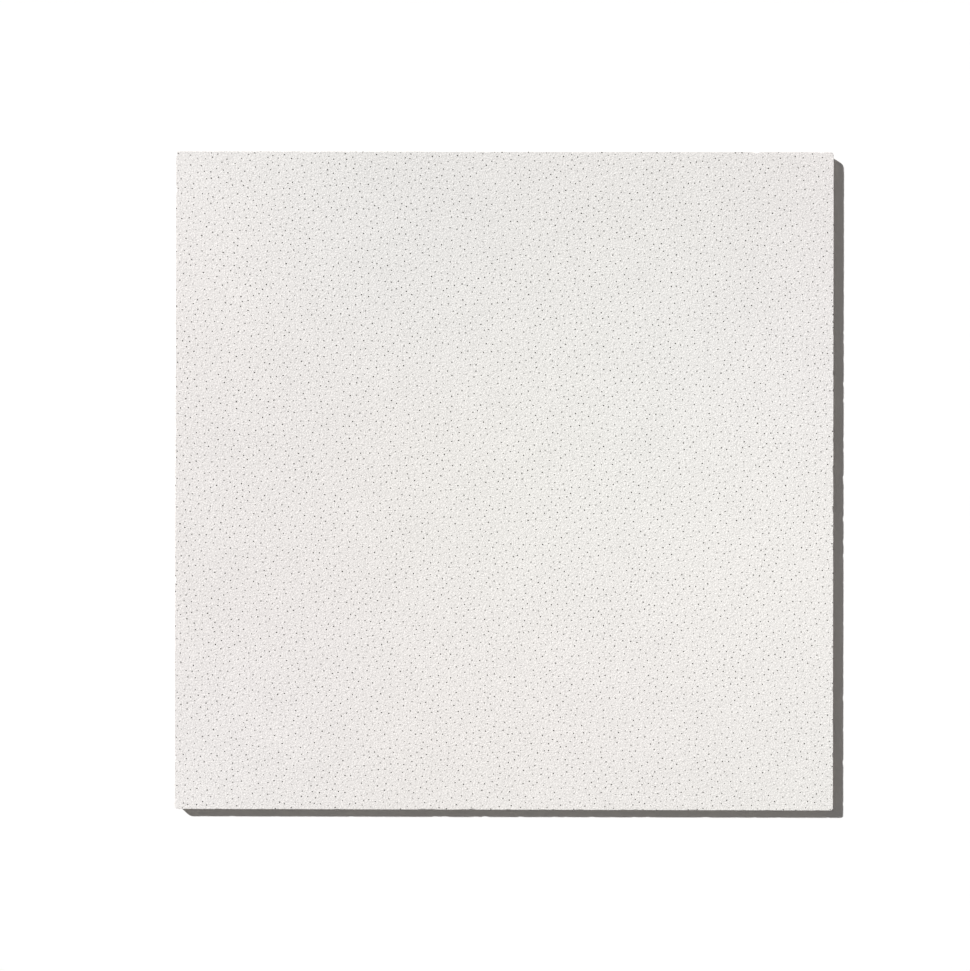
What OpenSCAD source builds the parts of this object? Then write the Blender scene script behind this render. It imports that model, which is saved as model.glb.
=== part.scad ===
// Suspended ceiling tile: one square board of pressed mineral fibre with plain sawn edges.
// Its painted face was needled all over with fine blind holes before the board was cut.
// The board lies on its back with the face up, and the origin is the middle of the back.

/* [Board] */
// Side of the square board, one 600 grid module less the play that lets it drop in
board_side = 595; // [575:1:615]
// Thickness of the board
board_t = 15; // [12:0.5:20]
// Radius of the four worn corners, seen from the face
corner_r = 1.2; // [0.8:0.1:3]
// Width and depth of the eased arris round the face
arris = 0.3; // [0.2:0.1:0.7]

/* [Pinholes] */
// Diameter of a pinhole at the face
pinhole_d = 1.4; // [0.8:0.1:1.8]
// Depth of a pinhole, from the face to the mark of the needle's point
pinhole_depth = 3.5; // [2:0.5:10]
// Diameter of the needle's blunt point
point_d = 0.4; // [0.2:0.1:0.7]
// Distance between the even places of neighbouring needles
needle_pitch = 18.5; // [18:0.5:30]
// Furthest that a needle stands from its even place, along each side
needle_wander = 6; // [0:0.5:7]
// Least distance from a needle's middle to the board's edge
needle_margin = 3; // [2:0.5:20]
// Seed of the needles' scatter
needle_seed = 11; // [1:1:99]

/* [Hidden] */
$fn = 48;
paint_white = [0.925, 0.914, 0.902];
// Length by which a cutting cone stands out of the face
cut_over = 1;
corner_middle = board_side / 2 - corner_r;
needle_span = board_side - 2 * (needle_margin + needle_wander);
needles_a_row = floor(needle_span / needle_pitch) + 1;
// Half of the board's section, from its middle out to the edge
half_section = [
  [0, 0],
  [board_side / 2, 0],
  [board_side / 2, board_t - arris],
  [board_side / 2 - arris, board_t],
  [0, board_t]
];
// Section of a worn corner, turned about the corner's own middle
corner_section = [
  [0, 0],
  [corner_r, 0],
  [corner_r, board_t - arris],
  [corner_r - arris, board_t],
  [0, board_t]
];

// Place of needle number n along a row, or of row number n, before it wanders
function even_place(n) = (n - (needles_a_row - 1) / 2) * needle_pitch;

// How far one needle stands from its even place, across and along
function wander(row, col) =
  rands(-needle_wander, needle_wander, 2, (needle_seed * 100 + row) * 100 + col);

function needle_place(row, col) =
  let (off = wander(row, col))
  [even_place(col) + off[0], even_place(row) + off[1], board_t];

// Half of the board on one side of the middle, as long as the straight part of an edge
module board_half(turn) {
  rotate([90, 0, turn])
    linear_extrude(height = 2 * corner_middle, center = true)
      polygon(half_section);
}

module worn_corner() {
  rotate_extrude()
    polygon(corner_section);
}

module board_blank() {
  for (turn = [0 : 90 : 270])
    board_half(turn);
  for (x = [-corner_middle, corner_middle], y = [-corner_middle, corner_middle])
    translate([x, y, 0])
      worn_corner();
}

// Tapered hole that a needle leaves, with the middle of its mouth at the origin
module pinhole() {
  widening = (pinhole_d - point_d) / pinhole_depth;
  translate([0, 0, -pinhole_depth])
    cylinder(h = pinhole_depth + cut_over, d1 = point_d, d2 = pinhole_d + widening * cut_over);
}

module ceiling_tile() {
  color(paint_white)
    difference() {
      board_blank();
      for (row = [0 : needles_a_row - 1], col = [0 : needles_a_row - 1])
        translate(needle_place(row, col))
          pinhole();
    }
}

ceiling_tile();
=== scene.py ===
"""Looks of a suspended ceiling tile: a pressed mineral-fibre board with a painted, needled face.

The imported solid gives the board's size, the level of its face and the places of its own pinholes.
A board with worn sawn edges takes its place, and a node tree punches needles all over its face.
"""

import math

import bpy
import numpy as np
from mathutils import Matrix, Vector, noise


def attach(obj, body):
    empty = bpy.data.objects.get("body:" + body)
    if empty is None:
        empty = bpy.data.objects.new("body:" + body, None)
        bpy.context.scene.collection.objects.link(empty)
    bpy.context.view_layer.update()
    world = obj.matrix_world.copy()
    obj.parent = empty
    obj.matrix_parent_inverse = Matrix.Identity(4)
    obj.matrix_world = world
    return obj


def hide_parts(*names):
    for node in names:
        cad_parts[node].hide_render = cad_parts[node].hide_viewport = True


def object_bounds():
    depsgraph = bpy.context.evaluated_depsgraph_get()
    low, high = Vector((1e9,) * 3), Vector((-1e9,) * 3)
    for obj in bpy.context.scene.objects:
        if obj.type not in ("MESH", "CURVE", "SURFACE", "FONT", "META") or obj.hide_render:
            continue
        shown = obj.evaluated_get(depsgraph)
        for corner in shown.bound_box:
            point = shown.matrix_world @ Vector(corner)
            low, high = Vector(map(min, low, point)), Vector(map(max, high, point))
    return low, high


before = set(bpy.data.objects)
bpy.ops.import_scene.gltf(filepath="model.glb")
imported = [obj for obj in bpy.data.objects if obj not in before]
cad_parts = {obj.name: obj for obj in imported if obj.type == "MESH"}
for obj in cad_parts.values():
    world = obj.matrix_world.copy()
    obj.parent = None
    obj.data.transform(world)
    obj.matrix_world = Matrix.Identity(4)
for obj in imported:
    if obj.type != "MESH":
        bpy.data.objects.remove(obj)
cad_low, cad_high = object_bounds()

MM = 0.001

# Names and sizes that the board shares with the solid
NODE = "ceiling_tile"
BODY = "root"
SIDE = cad_high.x - cad_low.x
FACE_Z = cad_high.z
ARRIS = 0.3 * MM
PINHOLE_D = 1.4 * MM
PINHOLE_DEPTH = 3.5 * MM

# The needling: the field was larger than the board, so the saw cut through some of the holes
FIELD_OVERHANG = 1 * MM
NEEDLE_SPACING = 5.3 * MM
NEEDLE_JITTER = 0.5 * MM
# Least distance between one of the solid's pinholes and a needle that fills in
SOURCE_CLEARANCE = 4 * MM
# Needles tried on each square of the spacing, of which most are too close to another
TRIES_A_SPACING = 60
NEEDLE_SIDES = 8
# A hole's width as a share of the solid's, and the greatest shares by which it is shallower or stretched
LEAST_SIZE = 0.54
GREATEST_SIZE = 0.97
DEPTH_SPREAD = 0.3
STRETCH = 0.2
NEEDLE_SEED = 4
# How much of its depth a needle's cone stands out of the face
CONE_OVER = 0.1
# How far from its level the mark of a needle's point is still found
POINT_TOLERANCE = 0.1 * MM
# Name of the mark that the board's own faces carry through the punch
SKIN = "skin"

# The sawn edge, in stations along it and levels up it
STATION = 1.5 * MM
CORNER_STEPS = 6
LEVEL_SHARES = (0, 0.06, 0.22, 0.4, 0.58, 0.74, 0.87, 0.95, 1)
EDGE_LEVELS = [share * (FACE_Z - ARRIS) for share in LEVEL_SHARES]
# Radii of the worn corners, from the one at +X and +Y to the left, and how much they grow to the back
CORNER_RADII = (2 * MM, 1.2 * MM, 1.6 * MM, 2.2 * MM)
CORNER_GROWTH = 3.6 * MM
# How much the tips of those corners are worn off at the face, and how far down that reaches
TIP_WEAR = (2.6 * MM, 0.8 * MM, 2.6 * MM, 0.4 * MM)
TIP_DEPTH = 3 * MM
# The edge's damage: how fine it is, above which level of its noise it shows, and how deep it goes
WAVER_SCALE, WAVER_DEPTH = 40, 0.1 * MM
TORN_SCALE, TORN_LEVEL, TORN_DEPTH = 260, 0.2, 0.5 * MM
CRUMBLE_SCALE, CRUMBLE_LEVEL, CRUMBLE_DEPTH = 190, 0.26, 1.8 * MM
CRUMBLE_SHIFT = Vector((7, 3, 5))
# Share of the edge's wear that reaches the rim of the face
RIM_SHARE = 0.5

# Colours of the paint and of the pressed fibre, as linear values
WHITE = (1, 1, 1, 1)
PAINT = (0.848, 0.829, 0.807, 1)
FIBRE_PALE = (0.64, 0.585, 0.5, 1)
FIBRE_DEEP = (0.37, 0.325, 0.265, 1)
# Fibre of the pinholes' walls, darkened well below the board's own fibre: painted shade that keeps the
# holes dark even where the lamp lights them
HOLE_SHADE_PALE = (0.34, 0.325, 0.3, 1)
HOLE_SHADE_DEEP = (0.18, 0.17, 0.155, 1)
DULL_ROUGHNESS = 0.9
DULL_SPECULAR = 0.2
# Levels at which the board cuts the slow noises of the paint's brightness and tint; the brightness cut is
# set so that its broad lighter and darker patches also lay painted shading across the face
TONE_AND_SHADE_CUT = 122.35
TINT_CUT = 66.25
# Values between which a soft noise mostly lies, and its middle
NOISE_LOW, NOISE_MIDDLE, NOISE_HIGH = 0.3, 0.5, 0.7

# Each finish: its fibre, how far paint runs down it, and how deep its relief is
FACE_RELIEF = 0.65 * MM
EDGE_FIBRE = {"Clump Scale": 380.0, "Grain Share": 0.16}
EDGE_RUN = 1.6 * MM
EDGE_RELIEF = 0.5 * MM
# The holes' walls take the darkened fibre colours above, painted shade that keeps them dark from every side
HOLE_FIBRE_AND_SHADE = {"Pale": HOLE_SHADE_PALE, "Deep": HOLE_SHADE_DEEP, "Clump Scale": 800.0, "Grain Share": 0.05}
HOLE_RUN = 0.05 * MM
HOLE_RELIEF = 0.05 * MM
BACK_FIBRE = {"Clump Scale": 240.0, "Grain Share": 0.06}
BACK_STREAKS = (12.0, 260.0, 1.0)
BACK_RELIEF = 0.35 * MM
# Places of the face's, the edge's and the back's finish on the blank board
PAINTED, SAWN, RAW = range(3)
# Name of the map that the board's finishes are laid out on
MAP_NAME = "OFBake"

# The camera, which looks straight down at the face
CAMERA_HEIGHT = 2.1
CAMERA_PLACE = Vector((-9.73 * MM, -14.46 * MM, FACE_Z + CAMERA_HEIGHT))
CAMERA_TURN = (math.radians(0.27), math.radians(0.2055), math.radians(0.111))
CAMERA_LENS = 86.16
CAMERA_SENSOR = 36
CAMERA_REACH = 100
# How far the far lamp throws the shadow of the face's edge across the floor
SHADOW_THROW = Vector((11.7 * MM, -8.8 * MM, -FACE_Z))
SUN_STRENGTH = 3.78
SUN_ANGLE = math.radians(2)
FILL_COLOUR = (0.151, 0.145, 0.142, 1)
FLOOR_REACH = 20
FLOOR_DROP = 0.05 * MM


# Helpers for objects and node trees

def add_object(name, data):
    made = bpy.data.objects.new(name, data)
    bpy.context.scene.collection.objects.link(made)
    return made


def add_node(tree, kind, inputs=None, **settings):
    """Adds a node, makes its settings, and links or sets its inputs by their names or numbers."""
    node = tree.nodes.new(kind)
    for name, value in settings.items():
        setattr(node, name, value)
    for socket, value in (inputs or {}).items():
        if isinstance(value, bpy.types.NodeSocket):
            tree.links.new(value, node.inputs[socket])
        else:
            node.inputs[socket].default_value = value
    return node


def maths(tree, operation, *values):
    """One step of arithmetic on sockets or numbers."""
    return add_node(tree, "ShaderNodeMath", dict(enumerate(values)), operation=operation).outputs[0]


def vector_maths(tree, operation, *values):
    """One step of arithmetic on vectors or colours."""
    given = dict(enumerate(values))
    return add_node(tree, "ShaderNodeVectorMath", given, operation=operation).outputs[0]


def scaled(tree, vector, factor):
    """A vector or colour times one number."""
    given = {0: vector, "Scale": factor}
    return add_node(tree, "ShaderNodeVectorMath", given, operation="SCALE").outputs[0]


def vector_of(tree, x=0.0, y=0.0, z=0.0):
    return add_node(tree, "ShaderNodeCombineXYZ", {0: x, 1: y, 2: z}).outputs[0]


def parts_of(tree, vector):
    return add_node(tree, "ShaderNodeSeparateXYZ", {0: vector}).outputs


def blended(tree, mask, first, second):
    """The colour that goes from the first to the second with a mask."""
    given = {0: mask, 6: first, 7: second}
    return add_node(tree, "ShaderNodeMix", given, data_type="RGBA").outputs[2]


def faded(tree, value, low, high, to_low=0.0, to_high=1.0):
    """Carries a value from one range to another, held at both ends."""
    ends = {0: value, 1: low, 2: high, 3: to_low, 4: to_high}
    return add_node(tree, "ShaderNodeMapRange", ends).outputs[0]


def noise_over(tree, place, scale, detail=2.0, roughness=0.5):
    """A soft noise over a place, as a value and as a colour, both about 0 to 1."""
    given = {"Vector": place, "Scale": scale, "Detail": detail, "Roughness": roughness}
    return add_node(tree, "ShaderNodeTexNoise", given).outputs


def clouds(tree, place, scale, **fineness):
    """The value of a soft noise over a place."""
    return noise_over(tree, place, scale, **fineness)[0]


def new_tree(name, kind, inputs, outputs):
    """A node group with these named sockets, each input as its kind and its value or None."""
    tree = bpy.data.node_groups.new(name, kind)
    for socket, (sort, value) in inputs.items():
        made = tree.interface.new_socket(socket, in_out="INPUT", socket_type="NodeSocket" + sort)
        if value is not None:
            made.default_value = value
    for socket, sort in outputs.items():
        tree.interface.new_socket(socket, in_out="OUTPUT", socket_type="NodeSocket" + sort)
    return tree, add_node(tree, "NodeGroupInput").outputs


# The board before it is needled

def corner_radius(quarter, z):
    """Radius of a worn corner at a level."""
    depth = FACE_Z - z
    tip = max(0.0, 1 - depth / TIP_DEPTH) ** 2
    return CORNER_RADII[quarter] + CORNER_GROWTH * depth / FACE_Z + TIP_WEAR[quarter] * tip


def outline(inset, z):
    """Places and outward directions round the board at a level, this far inside its edge."""
    half = SIDE / 2
    steps = round(SIDE / STATION)
    stations = []
    for quarter in range(4):
        turn = math.radians(90 * quarter)
        cos, sin = math.cos(turn), math.sin(turn)
        corner_r = corner_radius(quarter, z)
        start = corner_radius(quarter - 1, z) - half
        corner = half - corner_r
        run = [(half, start + (corner - start) * i / steps, 1.0, 0.0) for i in range(steps)]
        for i in range(CORNER_STEPS):
            angle = math.radians(90) * i / CORNER_STEPS
            x, y = math.cos(angle), math.sin(angle)
            run.append((corner + corner_r * x, corner + corner_r * y, x, y))
        for x, y, out_x, out_y in run:
            x -= inset * out_x
            y -= inset * out_y
            stations.append((
                x * cos - y * sin, x * sin + y * cos,
                out_x * cos - out_y * sin, out_x * sin + out_y * cos,
            ))
    return stations


def wear(place):
    """How far the sawn edge lies back at a place, from the saw's waver and torn fibre."""
    waver = 0.5 + 0.5 * noise.noise(place * WAVER_SCALE)
    torn = max(0.0, noise.noise(place * TORN_SCALE) - TORN_LEVEL)
    return WAVER_DEPTH * waver + TORN_DEPTH * torn


def crumble(place):
    """How far the arris has crumbled at a place."""
    crumbled = noise.noise(place * CRUMBLE_SCALE + CRUMBLE_SHIFT) - CRUMBLE_LEVEL
    return max(0.0, crumbled) * CRUMBLE_DEPTH


def edge_ring(z):
    """One ring of the sawn edge."""
    ring = []
    for x, y, out_x, out_y in outline(0, z):
        place = Vector((x, y, z))
        back = wear(place)
        if z in (EDGE_LEVELS[0], EDGE_LEVELS[-1]):
            back += crumble(place)
        ring.append((x - out_x * back, y - out_y * back, z))
    return ring


def face_ring():
    """The rim of the face, above the arris."""
    ring = []
    for x, y, out_x, out_y in outline(ARRIS, FACE_Z):
        place = Vector((x, y, FACE_Z))
        back = crumble(place) + RIM_SHARE * wear(place)
        ring.append((x - out_x * back, y - out_y * back, FACE_Z))
    return ring


def board_mesh(paint, edge, back):
    """The blank board: a painted face and arris, a worn sawn edge and a raw back."""
    rings = [edge_ring(z) for z in EDGE_LEVELS] + [face_ring()]
    count = len(rings[0])
    top = (len(rings) - 1) * count
    faces = [tuple(range(top, top + count)), tuple(reversed(range(count)))]
    finishes = [PAINTED, RAW]
    for low in range(0, top, count):
        for i in range(count):
            after = (i + 1) % count
            faces.append((low + i, low + after, low + count + after, low + count + i))
            finishes.append(PAINTED if low + count == top else SAWN)
    mesh = bpy.data.meshes.new("board_blank")
    mesh.from_pydata([place for ring in rings for place in ring], [], faces)
    for material in (paint, edge, back):
        mesh.materials.append(material)
    mesh.polygons.foreach_set("material_index", finishes)
    return mesh


# The needles

def needle_tree():
    """Punches the face: keeps the solid's pinholes and fills in between them, evenly but not in rows."""
    sizes = (
        "Point Level", "Face Level", "Field Side", "Spacing", "Jitter", "Clearance", "Mouth Diameter",
        "Depth", "Least Size", "Greatest Size", "Depth Spread", "Stretch",
    )
    tree, given = new_tree("needle_punching", "GeometryNodeTree", {
        "Board": ("Geometry", None),
        "Solid": ("Object", None),
        **{size: ("Float", None) for size in sizes},
        "Seed": ("Int", None),
        "Wall": ("Material", None),
    }, {"Punched Board": "Geometry"})
    here = add_node(tree, "GeometryNodeInputPosition").outputs[0]

    def on_face(points):
        """Lifts points to the level of the face."""
        x, y, _ = parts_of(tree, here)
        moved = {"Geometry": points, "Position": vector_of(tree, x, y, given["Face Level"])}
        return add_node(tree, "GeometryNodeSetPosition", moved).outputs[0]

    def random(low, high, draw):
        """A random number for each needle, from a draw of its own."""
        seed = maths(tree, "ADD", given["Seed"], draw)
        return add_node(tree, "FunctionNodeRandomValue", {2: low, 3: high, "Seed": seed}).outputs[1]

    # The solid's pinholes, each found by the mark of its needle's point
    solid = add_node(tree, "GeometryNodeObjectInfo", {"Object": given["Solid"]}).outputs["Geometry"]
    height = parts_of(tree, here)[2]
    at_point = maths(tree, "COMPARE", height, given["Point Level"], POINT_TOLERANCE)
    marks = add_node(tree, "GeometryNodeMeshToPoints", {"Mesh": solid, "Selection": at_point}).outputs[0]
    single = {"Geometry": marks, "Distance": given["Mouth Diameter"]}
    kept = on_face(add_node(tree, "GeometryNodeMergeByDistance", single).outputs[0])

    # The needles between them
    side = given["Field Side"]
    sheet = {"Size X": side, "Size Y": side, "Vertices X": 2, "Vertices Y": 2}
    field = add_node(tree, "GeometryNodeMeshGrid", sheet).outputs[0]
    density = maths(tree, "DIVIDE", TRIES_A_SPACING, maths(tree, "POWER", given["Spacing"], 2.0))
    scattered = on_face(add_node(tree, "GeometryNodeDistributePointsOnFaces", {
        "Mesh": field, "Distance Min": given["Spacing"], "Density Max": density, "Seed": given["Seed"],
    }, distribute_method="POISSON").outputs[0])
    nearest = add_node(tree, "GeometryNodeProximity", {0: kept}, target_element="POINTS")
    crowded = maths(tree, "LESS_THAN", nearest.outputs["Distance"], given["Clearance"])
    unwanted = {"Geometry": scattered, "Selection": crowded}
    clear = add_node(tree, "GeometryNodeDeleteGeometry", unwanted).outputs[0]
    furthest = given["Jitter"]
    nearmost = maths(tree, "MULTIPLY", furthest, -1.0)
    astray = vector_of(tree, random(nearmost, furthest, 1), random(nearmost, furthest, 2))
    filled = add_node(tree, "GeometryNodeSetPosition", {"Geometry": clear, "Offset": astray}).outputs[0]
    places = add_node(tree, "GeometryNodeJoinGeometry", {0: filled})
    tree.links.new(kept, places.inputs[0])

    # One needle, whose cone stands out of the face and has the mouth's width at its level
    over = maths(tree, "MULTIPLY", given["Depth"], CONE_OVER)
    cone = add_node(tree, "GeometryNodeMeshCone", {
        "Vertices": NEEDLE_SIDES,
        "Radius Top": 0.0,
        "Radius Bottom": maths(tree, "MULTIPLY", given["Mouth Diameter"], (1 + CONE_OVER) / 2),
        "Depth": maths(tree, "ADD", given["Depth"], over),
    }).outputs[0]
    needle = add_node(tree, "GeometryNodeTransform", {
        "Geometry": cone, "Translation": vector_of(tree, z=over), "Rotation": (math.pi, 0, 0),
    }).outputs[0]

    # Its copies, each of its own width, depth and turn
    size = random(given["Least Size"], given["Greatest Size"], 3)
    stretch = maths(tree, "ADD", 1.0, random(0.0, given["Stretch"], 4))
    length = maths(tree, "MULTIPLY", size, stretch)
    width = maths(tree, "DIVIDE", size, stretch)
    depth = maths(tree, "SUBTRACT", 1.0, random(0.0, given["Depth Spread"], 6))
    needles = add_node(tree, "GeometryNodeInstanceOnPoints", {
        "Points": places.outputs[0],
        "Instance": needle,
        "Rotation": vector_of(tree, z=random(0.0, math.tau, 5)),
        "Scale": vector_of(tree, length, width, depth),
    }).outputs[0]
    standing = add_node(tree, "GeometryNodeRealizeInstances", {0: needles}).outputs[0]

    # The punch: what isn't the board's own skin afterwards is the wall of a hole
    skinned = add_node(tree, "GeometryNodeStoreNamedAttribute", {
        "Geometry": given["Board"], "Name": SKIN, "Value": True,
    }, data_type="BOOLEAN", domain="FACE").outputs[0]
    punched = add_node(tree, "GeometryNodeMeshBoolean", {
        0: skinned, 1: standing,
    }, operation="DIFFERENCE", solver="MANIFOLD").outputs[0]
    whole = add_node(tree, "GeometryNodeRealizeInstances", {0: punched}).outputs[0]
    skin = add_node(tree, "GeometryNodeInputNamedAttribute", {"Name": SKIN}, data_type="BOOLEAN").outputs[0]
    opened = add_node(tree, "FunctionNodeBooleanMath", {0: skin}, operation="NOT").outputs[0]
    walled = add_node(tree, "GeometryNodeSetMaterial", {
        "Geometry": whole, "Selection": opened, "Material": given["Wall"],
    }).outputs[0]
    add_node(tree, "NodeGroupOutput", {0: walled})
    return tree


def punched_mesh(blank, settings):
    """Sets the needle tree's inputs by their identifiers and gives back the punched board's plain mesh."""
    board = add_object("board_blank", blank)
    punch = board.modifiers.new("needles", "NODES")
    punch.node_group = needle_tree()
    for socket in punch.node_group.interface.items_tree:
        if socket.name in settings:
            punch[socket.identifier] = settings[socket.name]
    depsgraph = bpy.context.evaluated_depsgraph_get()
    mesh = bpy.data.meshes.new_from_object(board.evaluated_get(depsgraph))
    board.modifiers.remove(punch)
    bpy.data.objects.remove(board)
    mesh.attributes.remove(mesh.attributes[SKIN])
    return mesh


# Finishes

def fibre_group():
    """Pressed mineral fibre: cloudy clumps of fibre, with pale ragged grains of all sizes among them."""
    tree, given = new_tree("fibre_mottle", "ShaderNodeTree", {
        "Vector": ("Vector", None),
        "Pale": ("Color", FIBRE_PALE),
        "Deep": ("Color", FIBRE_DEEP),
        "Clump Scale": ("Float", None),
        "Grain Share": ("Float", None),
    }, {"Colour": "Color", "Height": "Float"})
    place, scale = given["Vector"], given["Clump Scale"]

    # How fine the clouds, the grains and the grains' ragged rims are beside the clumps
    cloud_scale = maths(tree, "MULTIPLY", scale, 0.07)
    grain_scale = maths(tree, "MULTIPLY", scale, 1.2)
    ragged_scale = maths(tree, "MULTIPLY", scale, 3.0)

    # The tone, mostly from the clumps, and the sums at which it is deepest and palest
    clump_part, cloud_part, deepest, palest = 1.6, 0.5, 0.67, 1.43
    clump = clouds(tree, place, scale, detail=4.0, roughness=0.65)
    clump = maths(tree, "MULTIPLY", clump, clump_part)
    cloud = maths(tree, "MULTIPLY", clouds(tree, place, cloud_scale), cloud_part)
    tone = faded(tree, maths(tree, "ADD", clump, cloud), deepest, palest)

    # The grains: cells whose rims are shoved about, some of them chosen, each of its own breadth
    furthest, least_breadth, more_breadth = 0.45, 0.1, 0.38
    outer_rim, inner_rim = -0.14, 0.12
    ragged = noise_over(tree, place, ragged_scale)["Color"]
    shove = maths(tree, "DIVIDE", furthest, scale)
    shoved = vector_maths(tree, "MULTIPLY_ADD", ragged, shove, place)
    cells = add_node(tree, "ShaderNodeTexVoronoi", {"Vector": shoved, "Scale": grain_scale}).outputs
    choice, breadth, _ = parts_of(tree, cells["Color"])
    chosen = maths(tree, "LESS_THAN", choice, given["Grain Share"])
    rim = maths(tree, "ADD", least_breadth, maths(tree, "MULTIPLY", breadth, more_breadth))
    inside = maths(tree, "SUBTRACT", rim, cells["Distance"])
    grain = maths(tree, "MULTIPLY", chosen, faded(tree, inside, outer_rim, inner_rim))

    # How near a grain comes to the paint's colour, and how far it stands out
    paleness, stand_out = 0.55, 0.4
    ground = blended(tree, tone, given["Deep"], given["Pale"])
    colour = blended(tree, maths(tree, "MULTIPLY", grain, paleness), ground, PAINT)
    height = maths(tree, "ADD", tone, maths(tree, "MULTIPLY", grain, stand_out))
    add_node(tree, "NodeGroupOutput", {"Colour": colour, "Height": height})
    return tree


def paint_group():
    """Rolled matt paint: a fine grain, specks, a tint that wanders across the board, and a slow brightness
    change that is partly the paint's tone and partly painted shading.
    """
    tree, given = new_tree("paint_grain", "ShaderNodeTree", {
        "Vector": ("Vector", None),
        "Paint": ("Color", PAINT),
        "Grain Scale": ("Float", 480.0),
        "Speckle": ("Float", 1.03),
        "Mottle": ("Float", 0.05),
        "Tone And Shade Drift": ("Float", 0.17),
        "Tint": ("Float", 0.045),
    }, {"Colour": "Color", "Height": "Float", "Roughness": "Float"})
    place, scale = given["Vector"], given["Grain Scale"]

    # How fine the specks and the mottle are beside the grain, how slow the drifts are, and the sheen
    speck_scale = maths(tree, "MULTIPLY", scale, 2.1)
    mottle_scale = maths(tree, "MULTIPLY", scale, 0.075)
    tone_and_shade_scale, tint_scale = 1.6, 2.2
    dullest, smoothest = 0.95, 0.82

    def at_cut(level):
        """The board's place, lifted to where it cuts a slow noise."""
        return vector_maths(tree, "ADD", place, (0.0, 0.0, level))

    def share(value, part):
        """How far a noise moves the tone off its middle."""
        return maths(tree, "MULTIPLY", maths(tree, "SUBTRACT", value, NOISE_MIDDLE), part)

    grain = clouds(tree, place, scale, detail=3.0, roughness=0.75)
    speck = share(clouds(tree, place, speck_scale, detail=1.0), given["Speckle"])
    mottle = share(clouds(tree, place, mottle_scale), given["Mottle"])
    # Slow brightness change of the paint: partly its own tone, partly painted shading laid across the face
    tone_and_shade_drift = share(clouds(tree, at_cut(TONE_AND_SHADE_CUT), tone_and_shade_scale, detail=1.0), given["Tone And Shade Drift"])
    tone = maths(tree, "ADD", maths(tree, "ADD", speck, mottle), maths(tree, "ADD", tone_and_shade_drift, 1.0))
    tints = noise_over(tree, at_cut(TINT_CUT), tint_scale, detail=1.0)["Color"]
    tint = scaled(tree, vector_maths(tree, "SUBTRACT", tints, [NOISE_MIDDLE] * 3), given["Tint"])
    shade = vector_maths(tree, "ADD", tint, tone)
    colour = vector_maths(tree, "MULTIPLY", given["Paint"], shade)
    roughness = faded(tree, grain, NOISE_LOW, NOISE_HIGH, dullest, smoothest)
    add_node(tree, "NodeGroupOutput", {"Colour": colour, "Height": grain, "Roughness": roughness})
    return tree


def run_group():
    """Where paint has run over the rim of the face: 1 at the face, ragged, and 0 further down."""
    tree, given = new_tree("paint_run", "ShaderNodeTree", {
        "Vector": ("Vector", None),
        "Face Level": ("Float", FACE_Z),
        "Run": ("Float", None),
    }, {"Mask": "Float"})
    # How fine the paint's ragged end is, its least share of the run, and how softly it ends
    ragged_scale, least_share, soft_end = 190.0, 0.4, 0.2
    place = given["Vector"]
    ragged = maths(tree, "ADD", least_share, clouds(tree, place, ragged_scale, detail=3.0))
    reach = maths(tree, "MULTIPLY", given["Run"], ragged)
    depth = maths(tree, "SUBTRACT", given["Face Level"], parts_of(tree, place)[2])
    share = maths(tree, "DIVIDE", depth, reach)
    mask = faded(tree, share, 1 - soft_end, 1 + soft_end, 1.0, 0.0)
    add_node(tree, "NodeGroupOutput", {"Mask": mask})
    return tree


def new_material(name):
    """A material with a dull shader, its tree, and the place of each point on the board."""
    material = bpy.data.materials.new(name)
    material.use_nodes = True
    tree = material.node_tree
    shader = tree.nodes["Principled BSDF"]
    shader.inputs["Roughness"].default_value = DULL_ROUGHNESS
    shader.inputs["Specular IOR Level"].default_value = DULL_SPECULAR
    return material, tree, shader, add_node(tree, "ShaderNodeTexCoord").outputs["Object"]


def use_group(tree, group, inputs):
    """Places a shader group in a material's tree, with that material's own values."""
    return add_node(tree, "ShaderNodeGroup", inputs, node_tree=group).outputs


def set_relief(tree, shader, height, distance):
    """Feeds a height through a bump to the shader."""
    bump = add_node(tree, "ShaderNodeBump", {"Height": height, "Distance": distance, "Strength": 1.0})
    tree.links.new(bump.outputs[0], shader.inputs["Normal"])


def face_paint(groups):
    material, tree, shader, place = new_material("face_paint")
    paint = use_group(tree, groups["paint"], {"Vector": place})
    tree.links.new(paint["Colour"], shader.inputs["Base Color"])
    tree.links.new(paint["Roughness"], shader.inputs["Roughness"])
    set_relief(tree, shader, paint["Height"], FACE_RELIEF)
    return material


def run_over(name, groups, fibre_values, run, relief):
    """Raw fibre with paint over its upper rim, which smooths most of the relief there."""
    material, tree, shader, place = new_material(name)
    fibre = use_group(tree, groups["fibre"], {"Vector": place, **fibre_values})
    paint = use_group(tree, groups["paint"], {"Vector": place})
    mask = use_group(tree, groups["run"], {"Vector": place, "Run": run})["Mask"]
    colour = blended(tree, mask, fibre["Colour"], paint["Colour"])
    tree.links.new(colour, shader.inputs["Base Color"])
    # Share of the relief that shows through the paint
    through = 0.2
    bare = maths(tree, "SUBTRACT", 1 + through, mask)
    set_relief(tree, shader, maths(tree, "MULTIPLY", fibre["Height"], bare), relief)
    return material


def raw_back(groups):
    """The back as it left the press: fibre with faint streaks along the line that it was made on."""
    material, tree, shader, place = new_material("raw_back")
    fibre = use_group(tree, groups["fibre"], {"Vector": place, **BACK_FIBRE})
    drawn_out = add_node(tree, "ShaderNodeMapping", {"Vector": place, "Scale": BACK_STREAKS}).outputs[0]
    streak = clouds(tree, drawn_out, 1.0, detail=3.0, roughness=0.6)
    darkest, palest = 0.86, 1.06
    shade = faded(tree, streak, NOISE_LOW, NOISE_HIGH, darkest, palest)
    tree.links.new(scaled(tree, fibre["Colour"], shade), shader.inputs["Base Color"])
    set_relief(tree, shader, maths(tree, "ADD", fibre["Height"], streak), BACK_RELIEF)
    return material


# The finished board

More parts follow.
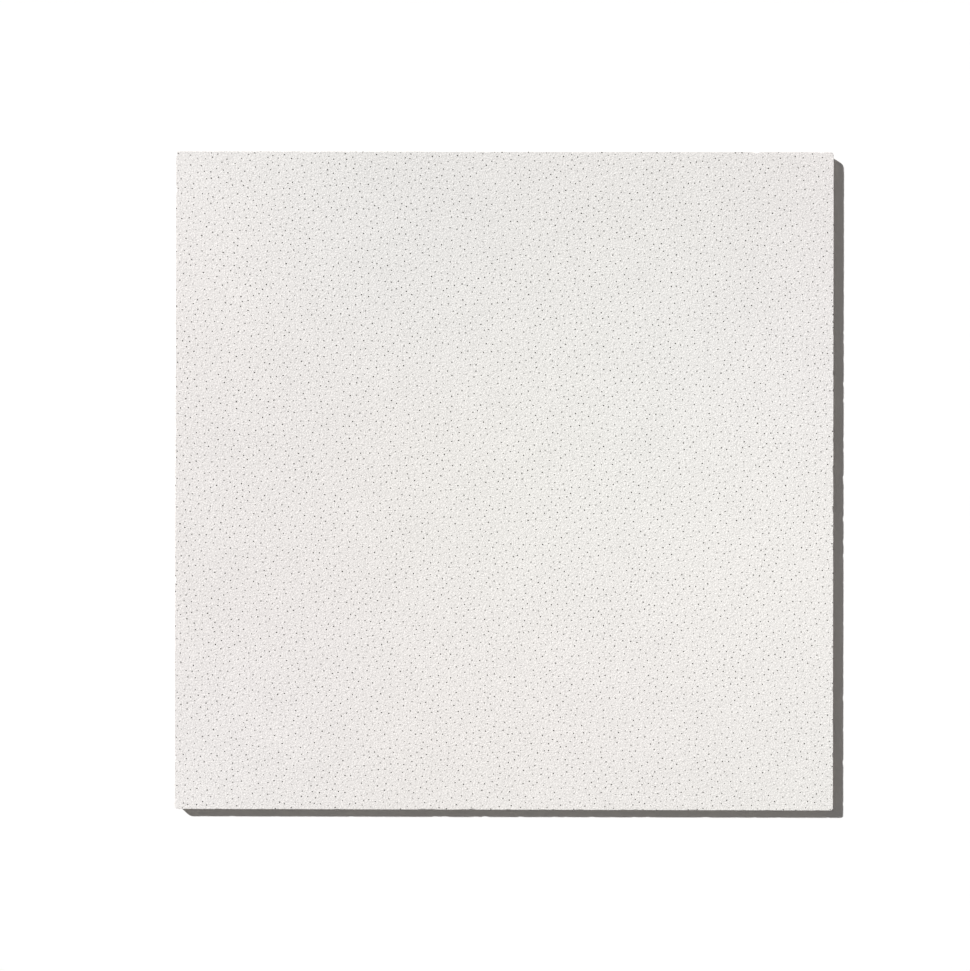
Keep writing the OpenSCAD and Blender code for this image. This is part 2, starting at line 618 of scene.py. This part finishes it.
def lay_out_map(mesh):
    """Gives each face its place on one map: the face and its holes, the back, and four edges."""
    # Sides of the face and of the back on the map, the height of an edge, and the gap between them
    face_side, back_side, strip, gap = 0.7, 0.285, 0.066, 0.005
    count = len(mesh.polygons)
    slot = np.empty(count, np.int32)
    middle = np.empty(count * 3, np.float32)
    corners = np.empty(count, np.int32)
    mesh.polygons.foreach_get("material_index", slot)
    mesh.polygons.foreach_get("center", middle)
    mesh.polygons.foreach_get("loop_total", corners)
    middle = middle.reshape(-1, 3)
    vertex = np.empty(len(mesh.loops), np.int32)
    mesh.loops.foreach_get("vertex_index", vertex)
    place = np.empty(len(mesh.vertices) * 3, np.float32)
    mesh.vertices.foreach_get("co", place)
    x, y, z = place.reshape(-1, 3)[vertex].T
    names = [material.name for material in mesh.materials]
    finish = np.repeat(slot, corners)
    on_edge = finish == names.index("sawn_edge")
    on_back = finish == names.index("raw_back")
    across = x / SIDE + 0.5
    along = y / SIDE + 0.5
    u = gap + face_side * across
    v = gap + face_side * along
    u = np.where(on_back, 1 - gap - back_side * across, u)
    v = np.where(on_back, gap + back_side * along, v)
    # Edge number 0 faces +X, and the others follow to the left
    facing = np.round(np.arctan2(middle[:, 1], middle[:, 0]) / (math.pi / 2)).astype(int) % 4
    facing = np.repeat(facing, corners)
    run = np.choose(facing, (along, 1 - across, 1 - along, across))
    base = face_side + 2 * gap + facing * (strip + gap)
    u = np.where(on_edge, gap + (1 - 2 * gap) * run, u)
    v = np.where(on_edge, base + strip * z / FACE_Z, v)
    layer = mesh.uv_layers.new(name=MAP_NAME)
    layer.data.foreach_set("uv", np.stack([u, v], axis=1).astype(np.float32).ravel())


groups = {"fibre": fibre_group(), "paint": paint_group(), "run": run_group()}
sawn_edge = run_over("sawn_edge", groups, EDGE_FIBRE, EDGE_RUN, EDGE_RELIEF)
pinhole_wall = run_over("pinhole_wall", groups, HOLE_FIBRE_AND_SHADE, HOLE_RUN, HOLE_RELIEF)
blank = board_mesh(face_paint(groups), sawn_edge, raw_back(groups))
board_data = punched_mesh(blank, {
    "Solid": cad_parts[NODE],
    "Point Level": FACE_Z - PINHOLE_DEPTH,
    "Face Level": FACE_Z,
    "Field Side": SIDE + 2 * FIELD_OVERHANG,
    "Spacing": NEEDLE_SPACING,
    "Jitter": NEEDLE_JITTER,
    "Clearance": SOURCE_CLEARANCE,
    "Mouth Diameter": PINHOLE_D,
    "Depth": PINHOLE_DEPTH,
    "Least Size": LEAST_SIZE,
    "Greatest Size": GREATEST_SIZE,
    "Depth Spread": DEPTH_SPREAD,
    "Stretch": STRETCH,
    "Seed": NEEDLE_SEED,
    "Wall": pinhole_wall,
})
lay_out_map(board_data)
board = add_object("punched_board", board_data)
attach(board, BODY)
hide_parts(NODE)


# Floor, lamp, fill and camera

floor_mesh = bpy.data.meshes.new("floor")
reach, drop = FLOOR_REACH, -FLOOR_DROP
floor_mesh.from_pydata(
    [(-reach, -reach, drop), (reach, -reach, drop), (reach, reach, drop), (-reach, reach, drop)],
    [], [(0, 1, 2, 3)],
)
floor_white, _, floor_shader, _ = new_material("floor_white")
floor_shader.inputs["Base Color"].default_value = WHITE
floor_mesh.materials.append(floor_white)
add_object("floor", floor_mesh)

sun = bpy.data.lights.new("far_lamp", "SUN")
sun.energy = SUN_STRENGTH
sun.angle = SUN_ANGLE
add_object("far_lamp", sun).rotation_euler = SHADOW_THROW.to_track_quat("-Z", "Y").to_euler()

# The camera's rays, and those that are mirrored or pass through, meet white, and the fill lights the rest
world = bpy.data.worlds.new("fill")
world.use_nodes = True
bpy.context.scene.world = world
sky = world.node_tree
sky.nodes.clear()
path = add_node(sky, "ShaderNodeLightPath").outputs
seen = maths(sky, "MAXIMUM", path["Is Camera Ray"], path["Is Glossy Ray"])
seen = maths(sky, "MAXIMUM", seen, path["Is Transmission Ray"])
dim = add_node(sky, "ShaderNodeBackground", {"Color": FILL_COLOUR, "Strength": 1.0}).outputs[0]
white = add_node(sky, "ShaderNodeBackground", {"Color": WHITE, "Strength": 1.0}).outputs[0]
mixed = add_node(sky, "ShaderNodeMixShader", {0: seen, 1: dim, 2: white}).outputs[0]
add_node(sky, "ShaderNodeOutputWorld", {"Surface": mixed})

lens = bpy.data.cameras.new("photo_camera")
lens.lens = CAMERA_LENS
lens.sensor_width = CAMERA_SENSOR
lens.clip_end = CAMERA_REACH
camera = add_object("photo_camera", lens)
camera.location = CAMERA_PLACE
camera.rotation_euler = CAMERA_TURN
bpy.context.scene.camera = camera
bpy.context.scene.view_settings.view_transform = "Standard"
